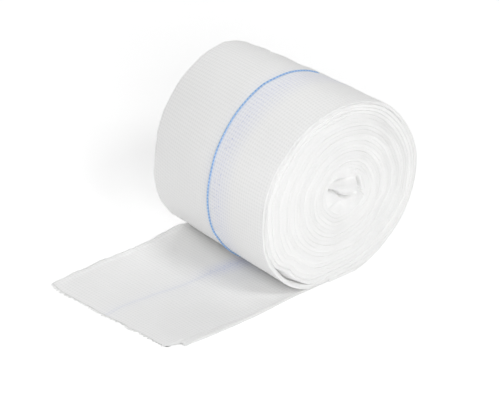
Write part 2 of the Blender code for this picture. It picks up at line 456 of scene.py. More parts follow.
@dataclass(frozen=True)
class WindingForm:
    """The shape into which the strip is wound: where any point of any turn lies.

    Angles are in degrees, and turns are counted in from the seam.
    """

    width: float = STRIP_WIDTH
    axis_height: float = 27.8 * MM
    seam_angle: float = -96.0
    pitch: float = 1.06 * MM
    thickness: float = 1.04 * MM
    overhang: float = 0.05
    core_depth: float = 20.6 * MM
    core_shift: Range = (2.3 * MM, 0.9 * MM)
    fold_reach: float = 0.065 * MM
    fold_square: float = 0.45
    rim_reach: float = 0.22 * MM
    rim_turns: Step = Step(2.6, 4.2)
    slip: Ripple = Ripple(11, 0.085, 0.03 * MM)
    wander: Ripple = Ripple(23, 0.37, 0.06 * MM)
    swell: Ripple = Ripple(29, 4.5 * MM, 0.36 * MM)
    swell_turns: Step = Step(0.0, 1.6)
    furrow_width: float = 1.3 * MM
    pucker_across: Ripple = Ripple(5, 5.2 * MM, 0.10 * MM)
    pucker_up: Ripple = Ripple(6, 4.4 * MM, 0.10 * MM)
    pucker_depth: float = 4.0 * MM
    slack: Ripple = Ripple(7, 4.6 * MM, 0.30 * MM)
    slack_from: Step = Step(5.0, 35.0)
    slack_to: Step = Step(58.0, 84.0)
    slack_margin: float = 5.0 * MM
    selvedge: float = 0.17 * MM
    selvedge_width: float = 1.4 * MM
    selvedge_fade: float = 0.3 * MM
    selvedge_turns: float = 2.4
    scallop: Ripple = Ripple(67, 1.7 * MM, 0.12 * MM)
    gape: float = 1.8 * MM
    gape_angle: float = 230.0
    gape_spread: float = 15.0
    gape_skew: float = 0.3
    gape_run: float = 1.7 * MM
    gape_bound: float = 1.6
    gape_from: Step = Step(1.2, 1.4)
    gape_to: Step = Step(2.2, 9.0)
    shoulder: float = 1.1 * MM
    shoulder_depth: float = 2.7 * MM
    shoulder_angle: float = 6.0
    shoulder_spread: float = 66.0

    @property
    def turns(self) -> float:
        """The number of turns from the outline in to the tucked middle."""
        return self.core_depth / self.pitch

    def angle(self, winding: Array) -> Array:
        """The angle about the axis, in degrees from +Y toward +Z."""
        return self.seam_angle + 360.0 * winding

    def outline(self, angle: Array, station: Array) -> Array:
        """The radius of the outline.

        Args:
            angle: Degrees about the axis.
            station: 0 at the near end, 1 at the far end.

        Returns:
            The radius in metres.
        """
        place = (angle - SECTIONS[0].angle) / (360.0 / len(SECTIONS))
        near, middle, far = (
            ring_curve(column(SECTIONS, name), place) for name in ("near", "middle", "far")
        )
        radius = (
            near * 2 * (station - 0.5) * (station - 1.0)
            + middle * 4 * station * (1.0 - station)
            + far * 2 * station * (station - 0.5)
        )
        return radius * MM

    def rise(self, angle: Array, depth: Array, side: Side) -> Array:
        """How far a turn's edge stands out of the cut plane.

        Args:
            angle: Degrees about the axis.
            depth: Depth in from the outline.
            side: Which end.

        Returns:
            The distance in metres.
        """
        depths, furrows = column(TURNS, "depth") * MM, column(TURNS, "furrow")
        rise = np.interp(depth, depths, column(TURNS, side.name.lower())) * MM
        part = ((angle - self.seam_angle) / 360.0) % 1.0
        rows = np.arange(len(TURNS))
        for whole in range(1, len(TURNS) - 1):
            centre = np.interp(whole + part, rows, depths)
            furrow = np.interp(whole + part, rows, furrows) * MM
            rise = rise - furrow * bell(depth - centre, self.furrow_width)
        if side is Side.NEAR:
            off = angle_from(self.shoulder_angle, angle) / self.shoulder_spread
            shallow = np.clip(1 - depth / self.shoulder_depth, 0.0, 1.0)
            rise = rise - self.shoulder * np.maximum(1 - off * off, 0.0) * shallow**2
            for hollow in HOLLOWS:
                rise = rise - hollow.pushed(angle, depth)
        return rise

    def edge(self, winding: Array, side: Side, inward: Array) -> Array:
        """X of the folded edge of the strip, with the small slips of each turn.

        Args:
            winding: Turns in from the seam.
            side: Which end.
            inward: Distance in from the strip's outer face.

        Returns:
            The place along the axis.
        """
        depth = self.pitch * winding + inward
        angle = self.angle(winding)
        slip = self.slip.on(side).at(winding) + self.wander.on(side).at(winding)
        radius = self.axis_height - depth
        y, z = radius * np.cos(np.radians(angle)), radius * np.sin(np.radians(angle))
        swell = self.swell.on(side).over(y, z) * self.swell_turns.at(winding)
        return side.value * (self.width / 2 + self.rise(angle, depth, side) + slip + swell)

    def bulge(self, winding: Array) -> Array:
        """How far the strip's folds stand out, more in the outermost turns."""
        return self.fold_reach + self.rim_reach * (1 - self.rim_turns.at(winding))

    def fold(self, winding: Array, turned: Array) -> tuple[Array, Array]:
        """The profile of the strip's folded edge.

        Args:
            winding: Turns in from the seam.
            turned: Radians round the fold, from its outer face to its inner face.

        Returns:
            How far the fold stands out, and how far inward it is, in metres.
        """
        sine, cosine = np.sin(turned), np.cos(turned)
        reach = self.bulge(winding) * np.abs(sine) ** self.fold_square
        inward = self.thickness / 2 * (1 - np.sign(cosine) * np.abs(cosine) ** self.fold_square)
        return reach, inward

    def depth(self, winding: Array, x: Array) -> Array:
        """The depth of the strip's outer face, opened where the winding gapes at the near end.

        Args:
            winding: Turns in from the seam.
            x: Places along the axis.

        Returns:
            The depth in from the outline, in metres.
        """
        off = angle_from(self.gape_angle, self.angle(winding)) / self.gape_spread
        lens = np.maximum(1 - off * off, 0.0) * (1 - self.gape_skew * off)
        run = np.clip((x - self.width / 2) / self.gape_run + 1, 0.0, self.gape_bound) ** 2
        inner = self.gape_from.at(winding) * (1 - self.gape_to.at(winding))
        return self.pitch * winding + self.gape * lens * run * inner

    def unevenness(self, angle: Array, x: Array, depth: Array) -> Array:
        """How far the cloth stands off its even form: its puckers, slack and far selvedge.

        Args:
            angle: Degrees about the axis.
            x: Places along the axis.
            depth: Depth in from the outline.

        Returns:
            The distance outward in metres.
        """
        turned = np.radians(angle)
        around = self.axis_height * turned
        y, z = self.axis_height * np.cos(turned), self.axis_height * np.sin(turned)
        puckers = self.pucker_across.over(y, x) + self.pucker_up.over(z, x)
        loose = self.slack_from.at(angle % 360) * (1 - self.slack_to.at(angle % 360))
        loose = loose * smoothstep(self.width / 2, self.width / 2 - self.slack_margin, x)
        outer = np.clip(1 - depth / self.pucker_depth, 0.0, 1.0)
        start = self.selvedge_width + self.selvedge_fade
        hem = smoothstep(start, self.selvedge_width, x + self.width / 2)
        hem = hem * np.clip(self.selvedge_turns - depth / self.pitch, 0.0, 1.0)
        bumps = (puckers + self.slack.over(around, x) * loose) * outer
        return bumps + (self.selvedge + self.scallop.at(around)) * hem

    def place(self, winding: Array, x: Array, inward: Array) -> Array:
        """Points of the winding.

        Args:
            winding: Turns in from the seam.
            x: Places along the axis.
            inward: Distance in from the strip's outer face.

        Returns:
            One row of X, Y and Z for each point.
        """
        angle = self.angle(winding)
        station = np.clip(0.5 - x / self.width, -self.overhang, 1 + self.overhang)
        depth = self.depth(winding, x) + inward
        share = depth / self.axis_height
        radius = self.outline(angle, station) * (1 - share) + self.axis_height * share
        radius = (1 - share) * radius + self.unevenness(angle, x, depth)
        y = self.core_shift[0] * share + radius * np.cos(np.radians(angle))
        z = self.core_shift[1] * share + radius * np.sin(np.radians(angle)) + self.axis_height
        return np.stack([x, y, np.maximum(z, depth)], axis=-1)


def grid_mesh(columns: int, rows: int, place: Placer, label: Placer | None = None) -> bmesh.types.BMesh:
    """A grid of faces laid on a surface.

    Args:
        columns: Faces along the first share.
        rows: Faces along the second share.
        place: Gives the points for two arrays of shares from 0 to 1.
        label: Gives the UV coordinates for the same shares.

    Returns:
        The new bmesh.
    """
    mesh = bmesh.new()
    bmesh.ops.create_grid(mesh, x_segments=columns, y_segments=rows, size=0.5)
    shares = np.array([(vert.co.x + 0.5, vert.co.y + 0.5) for vert in mesh.verts])
    mesh.verts.index_update()
    if label is not None:
        layer = mesh.loops.layers.uv.new(CLOTH_MAP)
        marks = label(shares[:, 0], shares[:, 1])
        for face in mesh.faces:
            for loop in face.loops:
                loop[layer].uv = marks[loop.vert.index]
    for vert, point in zip(mesh.verts, place(shares[:, 0], shares[:, 1])):
        vert.co = point
    return mesh


def sew(mesh: bmesh.types.BMesh, distance: float = WELD) -> None:
    """Weld the seams of a grid and close the rims that are left open.

    Args:
        mesh: The grid, bent into shape.
        distance: Points nearer than this become one.
    """
    bmesh.ops.remove_doubles(mesh, verts=mesh.verts, dist=distance)
    rim = [edge for edge in mesh.edges if edge.is_boundary]
    bmesh.ops.holes_fill(mesh, edges=rim, sides=0)


def mesh_data(name: str, mesh: bmesh.types.BMesh) -> bpy.types.Mesh:
    """Turn a bmesh into mesh data and free it."""
    data = bpy.data.meshes.new(name)
    mesh.to_mesh(data)
    mesh.free()
    return data


def linked(name: str, data: bpy.types.ID) -> bpy.types.Object:
    """A new object in the scene for a mesh, a light or a camera."""
    made = bpy.data.objects.new(name, data)
    bpy.context.scene.collection.objects.link(made)
    return made


def finished(name: str, mesh: bmesh.types.BMesh, material: bpy.types.Material) -> bpy.types.Object:
    """Turn a bmesh into a smooth, dressed object that rides on the part.

    Args:
        name: The piece's name.
        mesh: Its shape, in place.
        material: Its finish.

    Returns:
        The new object.
    """
    bmesh.ops.recalc_face_normals(mesh, faces=mesh.faces)
    data = mesh_data(name, mesh)
    data.shade_smooth()
    data.materials.append(material)
    piece = linked(name, data)
    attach(piece, BODY)
    LOG.info("%s: %d faces", name, len(data.polygons))
    return piece


class ClothMap(NamedTuple):
    """The cloth's UV map in millimetres: the pair itself, the place across and the place along."""

    pair: Socket
    across: Socket
    along: Socket


class Graph:
    """A small helper that adds and links shader nodes."""

    def __init__(self, name: str) -> None:
        """Start a material with its Principled shader."""
        self.material = bpy.data.materials.new(name)
        self.material.use_nodes = True
        self.nodes = self.material.node_tree.nodes
        self.links = self.material.node_tree.links
        self.shader = self.nodes["Principled BSDF"]

    def feed(self, socket: Socket, value: Value) -> None:
        """Link an input to another node's output, or set its value."""
        if isinstance(value, Socket):
            self.links.new(value, socket)
        else:
            socket.default_value = value

    def node(
        self, kind: str, inputs: dict[str | int, Value] | None = None, **settings: str
    ) -> bpy.types.Node:
        """Add a node.

        Args:
            kind: The node's type.
            inputs: Values or sockets for its inputs, by name or number.
            settings: Its own properties.

        Returns:
            The node.
        """
        made = self.nodes.new(kind)
        for key, value in settings.items():
            setattr(made, key, value)
        for key, value in (inputs or {}).items():
            self.feed(made.inputs[key], value)
        return made

    def cloth_map(self) -> ClothMap:
        """The cloth's UV map, read from the piece."""
        pair = self.node("ShaderNodeUVMap", uv_map=CLOTH_MAP).outputs[0]
        parts = self.node("ShaderNodeSeparateXYZ", {0: pair})
        return ClothMap(pair, parts.outputs[0], parts.outputs[1])

    def object_place(self) -> Socket:
        """The place in Object coordinates."""
        return self.node("ShaderNodeTexCoord").outputs["Object"]

    def math(self, operation: str, first: Value, second: Value = 0.0) -> Socket:
        """The result of a Math node."""
        return self.node("ShaderNodeMath", {0: first, 1: second}, operation=operation).outputs[0]

    def plus(self, first: Value, second: Value) -> Socket:
        """The sum of two values."""
        return self.math("ADD", first, second)

    def times(self, first: Value, second: Value) -> Socket:
        """The product of two values."""
        return self.math("MULTIPLY", first, second)

    def wave(self, place: Value, pitch: float) -> Socket:
        """A cosine wave along a place, from -1 to 1."""
        return self.math("COSINE", self.times(place, 2 * math.pi / pitch))

    def band(self, value: Value, source: Range, target: Range = (0.0, 1.0)) -> Socket:
        """A soft step of a value over the source range, which gives the target range."""
        names = ("Value", "From Min", "From Max", "To Min", "To Max")
        inputs = dict(zip(names, (value, *source, *target)))
        return self.node("ShaderNodeMapRange", inputs, interpolation_type="SMOOTHSTEP").outputs[0]

    def noise(self, place: Value, scale: float, detail: float = 2.0) -> Socket:
        """A Noise texture's value."""
        inputs = {"Vector": place, "Scale": scale, "Detail": detail}
        return self.node("ShaderNodeTexNoise", inputs).outputs["Fac"]

    def mixed(self, share: Value, first: Value, second: Value) -> Socket:
        """Two colours mixed, with the second one's share."""
        made = self.node("ShaderNodeMix", data_type="RGBA")
        for key, value in zip(MIX_INPUTS, (share, first, second)):
            self.feed(made.inputs[key], value)
        return made.outputs[MIX_OUTPUT]

    def bump(self, height: Value, strength: float, distance: float) -> Socket:
        """A Bump node's normal."""
        inputs = {"Height": height, "Strength": strength, "Distance": distance}
        return self.node("ShaderNodeBump", inputs).outputs[0]

    def close(
        self, colour: Socket, normal: Socket, roughness: float, specular: float, sheen: float = 0.0
    ) -> bpy.types.Material:
        """Set the shader's inputs.

        Args:
            colour: The base colour.
            normal: The bent normal.
            roughness: How matt the surface is.
            specular: How much it reflects.
            sheen: How much soft fibre stands off it.

        Returns:
            The material.
        """
        names = ("Base Color", "Normal", "Roughness", "Specular IOR Level", "Sheen Weight")
        for name, value in zip(names, (colour, normal, roughness, specular, sheen)):
            self.feed(self.shader.inputs[name], value)
        return self.material


@dataclass(frozen=True)
class ClothFinish:
    """Open-weave cotton seen as plies lying under the outermost one, with shade painted into the
    openings of its weave.

    Lengths on the cloth are in millimetres, as its UV map gives them.
    """

    name: str
    # Painted shade: light is the lit yarn, shade is painted shade in the openings of the weave, and the
    # next colour is that painted shade made darker and bluer where the blue thread lies below.
    light: Colour = (0.945, 0.944, 0.939, 1.0)
    shade: Colour = (0.885, 0.886, 0.882, 1.0)
    thread_tinted_shade: Colour = (0.66, 0.67, 0.73, 1.0)
    warp_pitch: float = WARP_PITCH / MM
    weft_pitch: float = WEFT_PITCH / MM
    # The weave's height, scaled by weave_height, runs over open_part from the painted shade of the
    # openings to the lit yarn.
    weave_height: float = 0.25
    open_part: Range = (-0.35, 0.15)
    drift: float = 1.4
    drift_scale: float = 0.12
    # On the folds at the strip's edges, at least fold_cover of the lit colour covers the painted shade
    # of the openings.
    fold: Range = (24.6, 25.2)
    fold_cover: float = 0.86
    halo: Colour = (0.83, 0.85, 0.97, 1.0)
    halo_width: float = 8.0
    halo_strength: float = 0.42
    marker: Colour = (0.28, 0.38, 0.72, 1.0)
    marker_place: float = 6.0
    marker_strength: float = 0.38
    marker_wander: float = 3.0
    marker_scale: float = 0.05
    marker_slope: float = 0.0
    dots: Range = (0.61, 0.69)
    dots_reach: Range = (0.4, 2.4)
    dots_scale: float = 1.4
    trace: float = 0.0
    trace_width: float = 1.1
    fade: float = 1.0
    fade_start: float = 13.0
    fade_end: float = 24.0
    fluff: float = 0.5
    fluff_scale: float = 3.0
    fluff_detail: float = 3.0
    relief: float = 0.022 * MM
    relief_strength: float = 0.6

    def weave(self, graph: Graph, cloth: ClothMap) -> Socket:
        """The height of the crossing yarns, low in the openings, where shade is painted; the warp drifts
        a little.

        Args:
            graph: The material's nodes.
            cloth: The cloth's UV map.

        Returns:
            The height.
        """
        drift = graph.times(graph.noise(cloth.pair, self.drift_scale), self.drift)
        warp = graph.wave(graph.plus(drift, cloth.across), self.warp_pitch)
        weft = graph.wave(cloth.along, self.weft_pitch)
        return graph.times(graph.plus(warp, weft), self.weave_height)

    def off_marker(self, graph: Graph, cloth: ClothMap) -> Socket:
        """The distance from the line along which the blue thread shows through.

        Args:
            graph: The material's nodes.
            cloth: The cloth's UV map.

        Returns:
            The distance in millimetres.
        """
        centred = graph.math("SUBTRACT", graph.noise(cloth.pair, self.marker_scale), 0.5)
        bent = graph.plus(cloth.across, graph.times(centred, self.marker_wander))
        line = graph.math("SUBTRACT", bent, self.marker_place)
        skew = graph.times(cloth.along, -self.marker_slope)
        return graph.math("ABSOLUTE", graph.plus(line, skew))

    def build(self) -> bpy.types.Material:
        """Make the material, read from the cloth's UV map.

        Returns:
            The material.
        """
        graph = Graph(self.name)
        cloth_map = graph.cloth_map()
        height = self.weave(graph, cloth_map)
        # Painted shade: the openings take the shade colour, made darker and bluer near the thread; on
        # the folds most of it is left out.
        folded = graph.band(graph.math("ABSOLUTE", cloth_map.across), self.fold, (0.0, self.fold_cover))
        yarn = graph.math("MAXIMUM", graph.band(height, self.open_part), folded)
        off = self.off_marker(graph, cloth_map)
        fade = graph.band(cloth_map.along, (self.fade_start, self.fade_end), (1.0, self.fade))
        speckle = graph.noise(cloth_map.pair, self.dots_scale)
        dots = graph.band(speckle, self.dots, (0.0, self.marker_strength))
        dots = graph.times(graph.times(graph.band(off, self.dots_reach, (1.0, 0.0)), dots), fade)
        dots = graph.math("MAXIMUM", dots, graph.band(off, (0.0, self.trace_width), (self.trace, 0.0)))
        near = graph.band(off, (0.0, self.halo_width), (1.0, 0.0))
        halo = graph.times(graph.times(near, self.halo_strength), fade)
        # cloth mixes the painted shade of the openings with the lit yarn colour.
        cloth = graph.mixed(yarn, graph.mixed(halo, self.shade, self.thread_tinted_shade), self.light)
        colour = graph.mixed(dots, graph.mixed(halo, cloth, self.halo), self.marker)
        fibres = graph.noise(cloth_map.pair, self.fluff_scale, self.fluff_detail)
        fluff = graph.times(fibres, self.fluff)
        normal = graph.bump(graph.plus(height, fluff), self.relief_strength, self.relief)
        return graph.close(colour, normal, roughness=0.95, specular=0.15, sheen=0.25)


@dataclass(frozen=True)
class YarnFinish:
    """Soft cotton yarn that runs one way, each length of it a little lighter or darker."""

    name: str
    run: Triple
    light: Colour = (0.965, 0.965, 0.960, 1.0)
    shade: Colour = (0.90, 0.90, 0.895, 1.0)
    tone: Range = (0.36, 0.62)
    grain: float = 2600.0
    grain_detail: float = 3.0
    streak: float = 820.0
    streak_share: float = 0.65
    relief: float = 0.05 * MM
    relief_strength: float = 0.35

    def build(self) -> bpy.types.Material:
        """Make the material, with fibre grain and long streaks from Object coordinates.

        Returns:
            The material.
        """
        graph = Graph(self.name)
        place = graph.object_place()
        drawn = graph.node("ShaderNodeVectorMath", {0: place, 1: self.run}, operation="MULTIPLY")
        grain = graph.noise(place, self.grain, self.grain_detail)
        streaks = graph.times(graph.noise(drawn.outputs[0], self.streak), self.streak_share)
        share = graph.plus(graph.times(grain, 1 - self.streak_share), streaks)
        colour = graph.mixed(graph.band(share, self.tone), self.shade, self.light)
        normal = graph.bump(grain, self.relief_strength, self.relief)
        return graph.close(colour, normal, roughness=0.9, specular=0.15, sheen=0.3)


@dataclass(frozen=True)
class MarkerFinish:
    """The dyed detectable yarn, with the light and shade on its twist painted as lighter and darker
    beads.
    """

    name: str
    # light is the painted highlight and shade the painted shade of each bead of the twist.
    light: Colour = (0.43, 0.63, 0.92, 1.0)
    shade: Colour = (0.25, 0.45, 0.80, 1.0)
    bead: float = WEFT_PITCH / MM
    twist: Range = (-0.6, 0.8)
    twist_share: float = 0.8
    grain: float = 3000.0
    grain_share: float = 0.4
    relief: float = 0.04 * MM
    relief_strength: float = 0.3

    def build(self) -> bpy.types.Material:
        """Make the material, with its painted light and shade beads along the yarn's own UV map.

        Returns:
            The material.
        """
        graph = Graph(self.name)
        grain = graph.noise(graph.object_place(), self.grain)
        wave = graph.wave(graph.cloth_map().along, self.bead)
        # Painted light and shade: each bead of the twist runs from the shade colour to the lit colour.
        twist_light_and_shade = graph.band(wave, self.twist, (0.0, self.twist_share))
        share = graph.plus(twist_light_and_shade, graph.times(grain, self.grain_share))
        colour = graph.mixed(share, self.shade, self.light)
        normal = graph.bump(grain, self.relief_strength, self.relief)
        return graph.close(colour, normal, roughness=0.85, specular=0.2, sheen=0.1)


@dataclass(frozen=True)
class PlainFinish:
    """The matt, faintly glowing surface that the roll lies on."""

    name: str
    colour: Colour
    glow: float
    dulled: float = 0.995
    grain: float = 4.0
    relief: float = 0.1 * MM
    relief_strength: float = 0.01

    def build(self) -> bpy.types.Material:
        """Make the material, with a faint unevenness.

        Returns:
            The material.
        """
        graph = Graph(self.name)
        tone = graph.noise(graph.object_place(), self.grain)
        dull = (*(value * self.dulled for value in self.colour[:3]), 1.0)
        graph.feed(graph.shader.inputs["Emission Color"], self.colour)
        graph.feed(graph.shader.inputs["Emission Strength"], self.glow)
        normal = graph.bump(tone, self.relief_strength, self.relief)
        return graph.close(graph.mixed(tone, self.colour, dull), normal, roughness=1.0, specular=0.0)


@dataclass
class WoundStrip:
    """The folded strip from the outermost turn in to the tucked middle, as one closed band."""

    form: WindingForm
    finish: ClothFinish
    outer_turns: float = 1.1
    outer_steps: int = 220
    inner_steps_per_turn: int = 68
    fold_steps: int = 6
    face_steps: int = 20
    fold_arc: float = 1.5 * MM

    def section(self, winding: Array, around: Array) -> tuple[Array, Array, Array]:
        """The strip's cross-section at a winding.

        Args:
            winding: Turns in from the seam.
            around: Share of the way round the section, from the near fold's outer side.

        Returns:
            X, the distance inward, and the distance across the cloth in millimetres.
        """
        form, fold, face = self.form, self.fold_steps, self.face_steps
        place = around * 2 * (fold + face)
        down, low, back, top = (
            np.clip((place - start) / count, 0.0, 1.0)
            for start, count in ((0, fold), (fold, face), (fold + face, fold), (2 * fold + face, face))
        )
        turned = np.where(place < fold + face, down, 1 - back) * math.pi
        reach, inward = form.fold(winding, turned)
        near = form.edge(winding, Side.NEAR, inward) - form.bulge(winding)
        far = form.edge(winding, Side.FAR, inward) + form.bulge(winding)
        across = low - top
        x = near + (far - near) * across + np.where(place < fold + face, reach, -reach)
        mark = form.width / 2 + self.fold_arc * (down + back) + form.width * (low + top)
        mark = np.where(top > 0, form.width * (top - 0.5), mark)
        return x, inward, mark / MM

    def length_along(self, winding: Array) -> Array:
        """The strip's length from the seam to a winding."""
        reach = self.form.axis_height - self.form.pitch * winding / 2
        return 2 * math.pi * winding * reach

    def build(self) -> bpy.types.Object:
        """Make the band and close its two ends.

        Returns:
            The finished piece.
        """
        inner = self.form.turns - self.outer_turns
        rings = self.outer_steps + round(inner * self.inner_steps_per_turn)
        outer_share = self.outer_steps / rings

        def winding(along: Array) -> Array:
            """Turns in from the seam, with finer steps in the outermost ones."""
            within = self.outer_turns * along / outer_share
            beyond = self.outer_turns + inner * (along - outer_share) / (1 - outer_share)
            return np.where(along < outer_share, within, beyond)

        def place(along: Array, around: Array) -> Array:
            """Points of the band."""
            x, inward, _ = self.section(winding(along), around)
            return self.form.place(winding(along), x, inward)

        def label(along: Array, around: Array) -> Array:
            """The cloth's UV map."""
            _, _, mark = self.section(winding(along), around)
            return np.stack([mark, self.length_along(winding(along)) / MM], axis=-1)

        mesh = grid_mesh(rings, 2 * (self.fold_steps + self.face_steps), place, label)
        sew(mesh)
        return finished("wound_strip", mesh, self.finish.build())


@dataclass
class YarnSet:
    """Yarns of one direction, each a tube with one ring of points at every crossing."""

    name: str
    half_width: float
    half_thickness: float
    sides: int = 4
    lowest: float = 0.01 * MM

    def tube(self, rings: int, length: float) -> bpy.types.Mesh:
        """A straight closed tube from which each yarn is bent.

        Args:
            rings: Its rings of points.
            length: What its UV map says it measures, in millimetres.

        Returns:
            Its mesh, 1 m long.
        """
        mesh = bmesh.new()
        bmesh.ops.create_grid(mesh, x_segments=rings - 1, y_segments=self.sides, size=0.5)
        layer = mesh.loops.layers.uv.new(CLOTH_MAP)
        for face in mesh.faces:
            for loop in face.loops:
                loop[layer].uv = (loop.vert.co.y + 0.5, (loop.vert.co.x + 0.5) * length)
        for vert in mesh.verts:
            along, around = vert.co.x + 0.5, (vert.co.y + 0.5) * 2 * math.pi
            vert.co = (math.cos(around), math.sin(around), along)
        sew(mesh, TUBE_WELD)
        bmesh.ops.recalc_face_normals(mesh, faces=mesh.faces)
        return mesh_data(self.name + "_tube", mesh)

    def build(
        self, centre: Array, beside: Array, above: Array, swell: Array, material: bpy.types.Material
    ) -> bpy.types.Object:
        """Bend a copy of the tube along each yarn.

        Args:
            centre: Yarn by ring, the points it passes through.
            beside: The unit direction across the yarn in the cloth, at each ring.
            above: The unit direction out of the cloth, at each ring.
            swell: The yarn's thickness at each ring, as a share of its nominal one.
            material: The yarn's finish.

        Returns:
            The finished piece.
        """
        yarns, rings = centre.shape[:2]
        length = np.linalg.norm(np.diff(centre, axis=1), axis=-1).sum(axis=1).mean()
        base = self.tube(rings, float(length) / MM)
        unit = np.array([vert.co for vert in base.vertices])
        ring = np.rint(unit[:, 2] * (rings - 1)).astype(int)
        mesh = bmesh.new()
        for _ in range(yarns):
            mesh.from_mesh(base)
        wide = (self.half_width * unit[None, :, 0] * swell[:, ring])[..., None]
        thick = (self.half_thickness * unit[None, :, 1] * swell[:, ring])[..., None]
        points = centre[:, ring] + beside[:, ring] * wide + above[:, ring] * thick
        points[..., 2] = np.maximum(points[..., 2], self.lowest)
        for vert, point in zip(mesh.verts, points.reshape(-1, 3)):
            vert.co = point
        bpy.data.meshes.remove(base)
        return finished(self.name, mesh, material)


class Yarns(NamedTuple):
    """The finishes of a ply's two sets of yarns."""

    warp: bpy.types.Material
    weft: bpy.types.Material


@dataclass
class WovenPly:
    """One open plain-woven ply, laid on a surface as crossing yarns."""

    name: str
    surface: Placer
    warp_places: Array
    weft_places: Array
    wave: float = 0.07 * MM
    lift: float = 0.11 * MM
    warp_half: float = 0.24 * MM
    weft_half: float = 0.29 * MM
    half_thickness: float = 0.08 * MM
    uneven: float = 0.16
    warp_share: float = 0.6
    shift: float = 0.16 * MM
    shift_step: float = 6.0 * MM
    sway: float = 0.26 * MM
    sway_step: float = 3.6 * MM
    weft_scale: float = 1.0
    slubs: float = 0.006
    slub_size: float = 1.5
    fringe: int = 0
    fringe_spread: float = 0.35 * MM
    fringe_short: float = 0.9
    fringe_rise: Range = (-0.1 * MM, 0.2 * MM)
    seed: int = 3

    def lattice(self) -> tuple[Array, Array, Array, Array]:
        """The crossings, and the directions there.

        Returns:
            Points, directions along the warp and along the weft, and directions out of the cloth,
            each warp by weft.
        """
        warp, weft = np.meshgrid(self.warp_places, self.weft_places, indexing="ij")
        length = weft * self.weft_scale
        shift = Ripple(self.seed, self.shift_step, self.shift).over(length, warp)
        sway = Ripple(self.seed + 1, self.sway_step, self.sway).over(length, warp) / self.weft_scale
        points = self.surface(warp + shift, weft + sway)
        along = unit_rows(np.gradient(points, axis=1))
        across = unit_rows(np.gradient(points, axis=0))
        out = unit_rows(np.cross(across, along))
        return points, along, across, out

    def build(self, yarns: Yarns) -> list[bpy.types.Object]:
        """Make the warp and the weft.

        Args:
            yarns: The finishes of the warp and the weft.

        Returns:
            The two pieces.
        """
        points, along, across, out = self.lattice()
        rows, columns = points.shape[:2]
        turn = np.where((np.arange(rows)[:, None] + np.arange(columns)[None, :]) % 2, 1.0, -1.0)
        over = (turn * self.wave)[..., None]
        chance = np.random.default_rng(self.seed)
        each = chance.uniform(-1, 1, (rows, columns)) * self.uneven
        warp_grow = 1 + each + chance.uniform(-1, 1, (rows, 1)) * self.uneven * self.warp_share
        weft_grow = 1 + each + chance.uniform(-1, 1, (1, columns)) * self.uneven
        thick = chance.random((rows, columns)) < self.slubs
        weft_grow = np.where(thick, weft_grow * self.slub_size, weft_grow)
        loose = points + out * (self.lift + over)
        if self.fringe:
            loose[:, -self.fringe :] += self.stray(chance, loose[:, -self.fringe :], across)
        warp = YarnSet(self.name + "_warp", self.warp_half, self.half_thickness).build(
            loose, across, out, warp_grow, yarns.warp
        )
        kept = slice(0, columns - self.fringe)
        weft = YarnSet(self.name + "_weft", self.weft_half, self.half_thickness).build(
            (points + out * (self.lift - over))[:, kept].transpose(1, 0, 2),
            along[:, kept].transpose(1, 0, 2),
            out[:, kept].transpose(1, 0, 2),
            weft_grow[:, kept].T,
            yarns.weft,
        )
        return [warp, weft]

    def stray(self, chance: np.random.Generator, ends: Array, across: Array) -> Array:
        """How far each ring of the frayed warp ends has moved from its place in the weave.

        Args:
            chance: The source of unevenness.
            ends: Warp by ring, where the ends would lie.
            across: The directions across the cloth.

        Returns:
            A shift for each ring.
        """
        yarns, rings = ends.shape[:2]
        grow = np.linspace(1 / rings, 1.0, rings)[None, :, None]
        sideways = chance.uniform(-1, 1, (yarns, 1, 1)) * self.fringe_spread * across[:, -rings:]
        pulled = (ends[:, :1] - ends) * chance.uniform(0.0, self.fringe_short, (yarns, 1, 1))
        raised = np.array([0.0, 0.0, 1.0]) * chance.uniform(*self.fringe_rise, (yarns, 1, 1))
        return (sideways + raised) * grow + pulled


@dataclass
class OuterPly:
    """The woven ply on the outside of the roll, folded round both edges of the strip."""

    form: WindingForm
    strip: WoundStrip
    first_turn: float = 0.004
    last_turn: float = 0.97
    overlap: float = 0.45 * MM
    seed: int = 31

    def surface(self, across: Array, along: Array) -> Array:
        """Points on the strip's outside.

        Args:
            across: Distance across the cloth from its middle.
            along: Turns in from the seam.

        Returns:
            One row of X, Y and Z for each point.
        """
        form = self.form
        bulge = form.bulge(along)
        flat = form.width / 2 - bulge
        share = np.clip(across / flat, -1.0, 1.0)
        beyond = np.maximum(np.abs(across) - flat, 0.0) / self.strip.fold_arc
        reach, inward = form.fold(along, np.clip(beyond, 0.0, 1.0) * math.pi)
        near = form.edge(along, Side.NEAR, inward) - bulge
        far = form.edge(along, Side.FAR, inward) + bulge
        x = np.where(share > 0, share * near + reach, -share * far - reach)
        return form.place(along, x, inward)

    def build(self, yarns: Yarns) -> list[bpy.types.Object]:
        """Weave the ply.

        Args:
            yarns: The finishes of the warp and the weft.

        Returns:
            Its warp and its weft.
        """
        half = self.form.width / 2 + self.overlap
        warps = int(2 * half / WARP_PITCH) + 1
        length = self.strip.length_along(np.array([self.last_turn]))[0]
        wefts = int(length / WEFT_PITCH)
        ply = WovenPly(
            "outer_ply",
            self.surface,
            np.linspace(-half, half, warps),
            np.linspace(self.first_turn, self.last_turn, wefts),
            weft_scale=length / (self.last_turn - self.first_turn),
            seed=self.seed,
        )
        return ply.build(yarns)


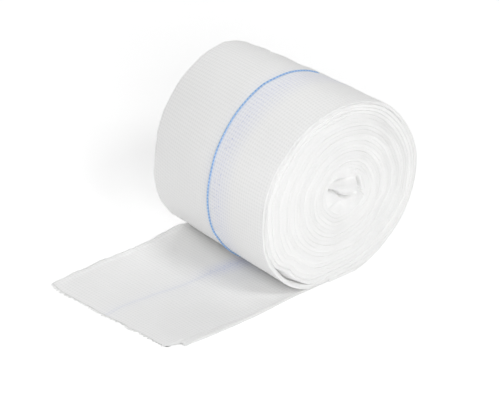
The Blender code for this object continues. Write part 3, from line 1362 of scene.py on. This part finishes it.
@dataclass
class MarkerThread:
    """The blue detectable thread, a two-strand twist lying along the middle of the outer ply."""

    form: WindingForm
    radius: float = 0.26 * MM
    flatness: float = 0.88
    bead: float = WEFT_PITCH
    bead_swell: float = 0.08
    wander: Ripple = Ripple(71, 0.03, 0.10 * MM)
    lift: float = 0.20 * MM
    dip: float = 0.60 * MM
    dip_from: Step = Step(34.0, 44.0)
    dip_to: Step = Step(60.0, 68.0)
    sink: float = 0.13 * MM
    sink_to: Step = Step(44.0, 112.0)
    rings: int = 1200
    sides: int = 8
    first_turn: float = 0.004
    last_turn: float = 0.985

    def build(self, material: bpy.types.Material) -> bpy.types.Object:
        """Make the thread.

        Args:
            material: The dyed yarn's finish.

        Returns:
            The finished piece.
        """
        form = self.form
        turn = np.linspace(self.first_turn, self.last_turn, self.rings)
        angle = form.angle(turn)
        angles, places = np.array(THREAD_PATH).T
        x = np.interp(angle, angles, places) * MM + self.wander.at(turn)
        base = form.place(turn, x, np.zeros(self.rings))
        along = unit_rows(np.gradient(base, axis=0))
        across = np.tile(np.array([1.0, 0.0, 0.0]), (self.rings, 1))
        out = unit_rows(np.cross(along, across))
        off_axis = base - [0, 0, form.axis_height]
        out = out * np.sign((out * off_axis).sum(-1, keepdims=True))
        length = np.concatenate([[0], np.cumsum(np.linalg.norm(np.diff(base, axis=0), axis=-1))])
        phase = length / self.bead * math.pi
        beside = across * np.cos(phase)[:, None] + out * np.sin(phase)[:, None]
        above = -across * np.sin(phase)[:, None] + out * np.cos(phase)[:, None]
        swell = 1 + self.bead_swell * np.cos(2 * phase)
        under = self.dip * (1 - self.dip_to.at(angle)) + self.sink * (1 - self.sink_to.at(angle))
        centre = base + out * (self.lift - under * self.dip_from.at(angle))[:, None]
        yarn = YarnSet("marker_thread", self.radius, self.radius * self.flatness, self.sides)
        return yarn.build(centre[None], beside[None], above[None], swell[None], material)


@dataclass
class FreeEnd:
    """The free end: the folded strip lying out flat, its margins, cut edge and lifted corner."""

    finish: ClothFinish
    slant: float = 4.7 * MM
    bow: float = 0.2 * MM
    ruffle: Ripple = Ripple(43, 2.1 * MM, 0.26 * MM)
    ruffle_to: Step = Step(0.0, 0.12)
    fray: Ripple = Ripple(47, 2.3 * MM, 0.25 * MM)
    fray_run: float = 16.0 * MM
    margin_back: Step = Step(0.922, 0.952, 4.6 * MM)
    thickness: float = 0.66 * MM
    fuller: Step = Step(-10.0 * MM, -18.0 * MM, 0.27 * MM)
    nipped: Step = Step(-6.0 * MM, -3.0 * MM, 0.26 * MM)
    tapered: Step = Step(-57.0 * MM, -64.6 * MM, 0.72)
    loose: Step = Step(-12.0 * MM, -20.0 * MM)
    ripple: Ripple = Ripple(53, 9.0 * MM, 0.22 * MM)
    fine_ripple: Ripple = Ripple(59, 3.5 * MM, 0.08 * MM)
    margin_rise: Step = Step(-0.2 * MM, 0.6 * MM, 0.28 * MM)
    hem_rise: Step = Step(2.5 * MM, 1.6 * MM, 0.28 * MM)
    corner: float = 10.0 * MM
    curl: Step = Step(-58.0 * MM, -64.6 * MM, 0.12 * MM)
    curl_wave: Ripple = Ripple(61, 6.0 * MM, 0.5)
    inset: float = 0.006
    shortened: float = 0.992
    rim: float = 0.012
    warp_span: Range = (0.8 * MM, STRIP_WIDTH - 0.7 * MM)
    warps: int = 55
    weft_span: Range = (3.0 * MM, 60.4 * MM)
    wefts: int = 57
    seed: int = 37
    rows: int = 120
    columns: int = 120

    def row_value(self, y: Array, name: str) -> Array:
        """A column of the rows' table at each distance."""
        return np.interp(y, column(REACHES, "y")[::-1] * MM, column(REACHES, name)[::-1]) * MM

    def flat_place(self, across: Array, along: Array) -> tuple[Array, Array, Array]:
        """Where a place on the cloth lies.

        Args:
            across: Share of the width from the left edge to the right edge.
            along: Share of the length from the roll to the cut edge.

        Returns:
            X, Y and the nominal distance of the row.
        """
        back, front = REACHES[0].y * MM, REACHES[-1].y * MM
        nominal = back + (front - back) * along
        left, right = self.row_value(nominal, "left"), self.row_value(nominal, "right")
        ruffle = self.ruffle.at(nominal + RIPPLE_SHIFT) * (1 - self.ruffle_to.at(across))
        x = left + (right - left) * across + ruffle
        short = self.slant * across + self.bow * np.sin(math.pi * across)
        short = short + self.margin_back.at(across) + self.fray.at(x + RIPPLE_SHIFT)
        y = nominal + short * np.clip(1 - (nominal - front) / self.fray_run, 0.0, 1.0)
        return x, y, nominal

    def height(self, across: Array, x: Array, y: Array, nominal: Array) -> Array:
        """How high the top of the cloth lies.

        Args:
            across: Share of the width.
            x: Place along the roll's axis.
            y: Place toward the cut edge.
            nominal: The distance of the row.

        Returns:
            The height in metres.
        """
        left, right, margin, swell = (
            self.row_value(nominal, name) for name in ("left", "right", "margin", "swell")
        )
        under = self.thickness + self.fuller.at(nominal) + self.nipped.at(nominal)
        under = under + swell * np.sin(math.pi * across)
        uneven = self.ripple.over(y, x) + self.fine_ripple.over(y, x)
        uneven = uneven + self.margin_rise.at(x - right + margin) + self.hem_rise.at(x - left)
        return (under + uneven * self.loose.at(nominal)) * (1 - self.tapered.at(nominal))

    def lift(self, x: Array, nominal: Array) -> Array:
        """How far the cloth stands up off the surface, at its left front corner and cut edge."""
        corner = np.clip(1 - (x - self.row_value(nominal, "left")) / self.corner, 0.0, 1.0)
        wave = 0.5 + self.curl_wave.at(x + RIPPLE_SHIFT)
        return self.row_value(nominal, "lift") * corner**2 + self.curl.at(nominal) * wave

    def top(self, across: Array, along: Array) -> Array:
        """Points on the top of the cloth."""
        x, y, nominal = self.flat_place(across, along)
        z = self.height(across, x, y, nominal) + self.lift(x, nominal)
        return np.stack([x, y, z], axis=-1)

    def build(self) -> bpy.types.Object:
        """Make the plies under the woven one, as one closed sheet.

        Returns:
            The finished piece.
        """

        def shell(along: Array, around: Array) -> Array:
            """Points of the sheet: over its top, then back under it."""
            side = 1 - np.abs(1 - around * 2)
            inset, run = self.inset + (1 - 2 * self.inset) * side, along * self.shortened
            point = self.top(inset, run)
            _, _, nominal = self.flat_place(inset, run)
            lift = self.lift(point[:, 0], nominal)
            rim = np.clip(np.minimum(side, 1 - side) / self.rim, 0, 1)
            half = (point[:, 2] - lift) / 2
            rounded = half * np.sqrt(np.clip(1 - (1 - rim) ** 2, 0, 1))
            point[:, 2] = lift + half + np.where(around > 0.5, -1, 1) * rounded
            return point

        def label(along: Array, around: Array) -> Array:
            """The cloth's UV map."""
            return np.stack([(around * 2 - 0.5) * STRIP_WIDTH, along * FREE_LENGTH], axis=-1) / MM

        mesh = grid_mesh(self.rows, 2 * self.columns, shell, label)
        sew(mesh)
        return finished("free_end", mesh, self.finish.build())

    def weave(self, yarns: Yarns) -> list[bpy.types.Object]:
        """Weave the top ply, a little wider than the plies under it.

        Args:
            yarns: The finishes of the warp and the weft.

        Returns:
            Its warp and its weft.
        """
        ply = WovenPly(
            "free_ply",
            lambda across, along: self.top(across / STRIP_WIDTH, along / FREE_LENGTH),
            np.linspace(*self.warp_span, self.warps),
            np.linspace(*self.weft_span, self.wefts),
            fringe=1,
            seed=self.seed,
        )
        return ply.build(yarns)


@dataclass
class TuckedMiddle:
    """The innermost turns, crumpled and tucked in, at one end of the roll."""

    form: WindingForm
    side: Side
    finish: ClothFinish
    creases: tuple[Crease, ...]
    lumps: tuple[Lump, ...]
    base: float
    flat: float = 17.0 * MM
    radius: float = 8.6 * MM
    shift: float = 0.8
    dome: float = 0.5 * MM
    tuck: Step = Step(0.84, 1.0, 3.0 * MM)
    crumple: Ripple = Ripple(83, 1.6 * MM, 0.18 * MM)
    mark: float = 60.0
    mark_radius: float = 8.0
    rings: int = 84
    spokes: int = 200

    def height(self, y: Array, z: Array) -> Array:
        """How far the cloth stands out of the cut plane.

        Args:
            y: Y from the axis.
            z: Z from the axis.

        Returns:
            The distance in metres.
        """
        height = self.crumple.over(y + RIPPLE_SHIFT, z + RIPPLE_SHIFT)
        for change in (*self.lumps, *self.creases):
            height = height + change.rise(y, z)
        return height

    def build(self) -> bpy.types.Object:
        """Make the crumpled middle.

        Returns:
            The finished piece.
        """
        centre_y, centre_z = np.array(self.form.core_shift) * self.shift

        def place(around: Array, out: Array) -> Array:
            """Points of the middle, by the share round it and out from its centre."""
            angle = around * 2 * math.pi
            y = centre_y + out * self.radius * np.cos(angle)
            z = centre_z + out * self.radius * np.sin(angle)
            rise = self.base + self.dome * (1 - out**2) - self.tuck.at(out)
            x = self.side.value * (self.form.width / 2 + rise + self.height(y, z))
            return np.stack([x, y, z + self.form.axis_height], axis=-1)

        def label(around: Array, out: Array) -> Array:
            """The cloth's UV map, clear of the strip's own."""
            angle = around * 2 * math.pi
            along, across = np.sin(angle), np.cos(angle)
            mark = np.stack([across, along], axis=-1) * (out * self.mark_radius)[:, None]
            return mark + [self.mark, 0.0]

        mesh = grid_mesh(self.spokes, self.rings, place, label)
        bmesh.ops.remove_doubles(mesh, verts=mesh.verts, dist=WELD)
        return finished(f"tucked_middle_{self.side.name.lower()}", mesh, self.finish.build())


def toward(azimuth: float, elevation: float) -> Vector:
    """The unit direction at an azimuth from +X and an elevation, both in degrees."""
    turn, tilt = math.radians(azimuth), math.radians(elevation)
    return Vector((math.cos(turn) * math.cos(tilt), math.sin(turn) * math.cos(tilt), math.sin(tilt)))


@dataclass
class Studio:
    """The pale surface, the soft lights and the camera."""

    target: Triple = (29.7 * MM, -36.0 * MM, 42.3 * MM)
    azimuth: float = 49.96
    elevation: float = 31.56
    distance: float = 4.19
    pixels_per_metre: float = 3620.0
    frame_pixels: int = 500
    sensor: float = 36.0
    clip_end: float = 20.0
    light_aim: float = 20.0 * MM
    light_distance: float = 0.7
    floor_half: float = 3.0
    floor_squares: int = 8
    floor_colour: Colour = (0.93, 0.93, 0.93, 1.0)
    floor_glow: float = 0.30
    sky: float = 0.01
    sky_colour: Colour = (0.985, 0.99, 1.0, 1.0)

    def aimed(self, name: str, data: bpy.types.ID, place: Vector, back: Vector) -> bpy.types.Object:
        """A light or camera at a place, looking against a direction.

        Args:
            name: The object's name.
            data: Its light or camera.
            place: Where it stands.
            back: The direction behind it.

        Returns:
            The object.
        """
        made = linked(name, data)
        made.location = place
        made.rotation_euler = back.to_track_quat("Z", "Y").to_euler()
        return made

    def camera(self) -> bpy.types.Object:
        """The camera at the photo's angle.

        Returns:
            The camera.
        """
        data = bpy.data.cameras.new("camera")
        data.sensor_width = self.sensor
        data.lens = self.pixels_per_metre * self.distance * self.sensor / self.frame_pixels
        data.clip_end = self.clip_end
        back = toward(FRONT + self.azimuth, self.elevation)
        camera = self.aimed("camera", data, Vector(self.target) + back * self.distance, back)
        bpy.context.scene.camera = camera
        return camera

    def light(self, lamp: Softbox) -> bpy.types.Object:
        """A square soft light aimed at the roll.

        Args:
            lamp: Where it stands, its size and its power.

        Returns:
            The light.
        """
        data = bpy.data.lights.new(lamp.name, "AREA")
        data.shape = "SQUARE"
        data.size = lamp.size
        data.energy = lamp.power
        back = toward(lamp.azimuth, lamp.elevation)
        place = back * self.light_distance + Vector((0.0, 0.0, self.light_aim))
        return self.aimed(lamp.name, data, place, back)

    def floor(self) -> bpy.types.Object:
        """The surface that the roll lies on.

        Returns:
            The surface.
        """
        mesh = bmesh.new()
        squares = self.floor_squares
        bmesh.ops.create_grid(mesh, x_segments=squares, y_segments=squares, size=self.floor_half)
        floor = linked("floor", mesh_data("floor", mesh))
        floor.data.materials.append(PlainFinish("floor", self.floor_colour, self.floor_glow).build())
        return floor

    def build(self) -> None:
        """Set up the camera, the surface, the sky and the lights."""
        self.camera()
        self.floor()
        world = bpy.data.worlds.new("studio")
        world.use_nodes = True
        sky = world.node_tree.nodes["Background"].inputs
        sky["Color"].default_value = self.sky_colour
        sky["Strength"].default_value = self.sky
        bpy.context.scene.world = world
        for lamp in SOFTBOXES:
            self.light(lamp)
        bpy.context.scene.view_settings.view_transform = "Standard"


@dataclass
class GauzeRoll:
    """The whole article: the wound strip with its outer ply and thread, and the free end."""

    form: WindingForm = field(default_factory=WindingForm)
    near_base: float = 1.0 * MM
    far_base: float = -1.6 * MM

    def roll(self, yarns: Yarns) -> None:
        """Build the wound strip, the woven ply on its outside and the blue thread.

        Args:
            yarns: The finishes of the warp and the weft.
        """
        strip = WoundStrip(self.form, ClothFinish("wound_gauze"))
        wound = strip.build()
        ply = OuterPly(self.form, strip).build(yarns)
        thread = MarkerThread(self.form).build(MarkerFinish("marker_yarn").build())
        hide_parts("gauze_roll")
        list(ply)
        for piece in (wound, *ply, thread):
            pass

    def free_end(self, yarns: Yarns) -> None:
        """Build the free end and its woven ply. Its blue thread shows only faintly through the plies.

        Args:
            yarns: The finishes of the warp and the weft.
        """
        finish = ClothFinish(
            "free_gauze",
            marker_place=2.5,
            marker_slope=-0.09,
            marker_strength=0.42,
            marker_wander=0.5,
            trace=0.07,
            fade=0.15,
            fade_start=18.0,
            fade_end=30.0,
            halo_width=5.0,
            halo_strength=0.55,
        )
        free = FreeEnd(finish)
        lying = free.build()
        woven = free.weave(yarns)
        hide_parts("loose_end")
        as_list(woven)
        for piece in (lying, *woven):
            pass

    def middles(self) -> None:
        """Build the tucked middle at each end."""
        finish = ClothFinish("tucked_gauze", marker_strength=0.0, halo_strength=0.0)
        for middle in (
            TuckedMiddle(self.form, Side.NEAR, finish, NEAR_CREASES, NEAR_LUMPS, self.near_base),
            TuckedMiddle(self.form, Side.FAR, finish, FAR_CREASES, FAR_LUMPS, self.far_base),
        ):
            piece = middle.build()

    def build(self) -> None:
        yarns = Yarns(
            YarnFinish("cotton_warp", (1.0, 0.08, 0.08)).build(),
            YarnFinish("cotton_weft", (0.06, 1.0, 1.0)).build(),
        )
        self.roll(yarns)
        self.free_end(yarns)
        self.middles()


def main() -> None:
    """Build the studio and the roll, and write how large each came out."""
    logging.basicConfig(level=logging.INFO, format="%(message)s")
    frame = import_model()
    LOG.info("frame loaded: %d nodes", len(frame["nodes"]))
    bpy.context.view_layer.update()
    Studio().build()
    GauzeRoll().build()
    bpy.context.view_layer.update()


if __name__ == "__main__":
    main()
